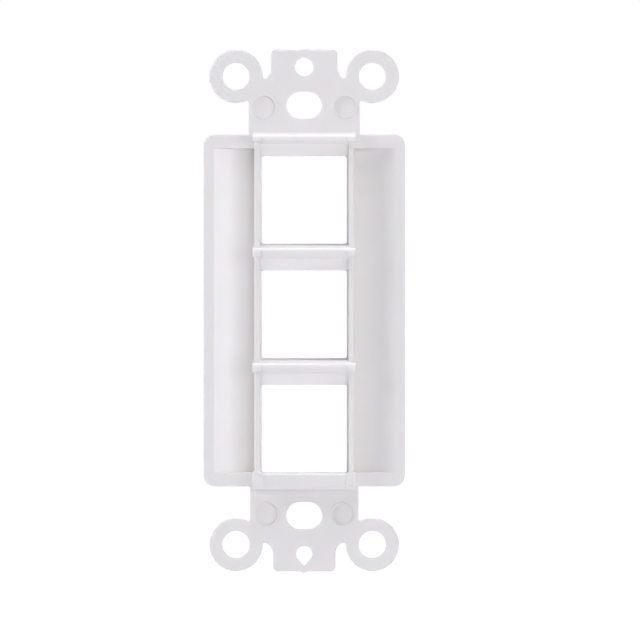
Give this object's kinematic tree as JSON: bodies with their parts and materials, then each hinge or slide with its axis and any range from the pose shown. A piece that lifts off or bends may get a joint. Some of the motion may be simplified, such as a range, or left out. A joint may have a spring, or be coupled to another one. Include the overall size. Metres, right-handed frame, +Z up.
{
  "type": "keystone faceplate",
  "caption": "Rectangular decorator-style keystone insert with a row of open jack ports, hollow sides, a mounting strap and ringed plaster ears.",
  "frame": {"origin": "midway between the two wall-plate screw holes, in the rear plane of the strap", "axes": "+Z up as installed, +Y out of the wall towards the room, +X to the right when seen from behind"},
  "size_m": [0.04, 0.0098, 0.1043],
  "materials": {
    "white_plastic": "satin moulded thermoplastic, white"
  },
  "bodies": {
    "root": {"insert_body": "white_plastic"}
  },
  "joints": []
}
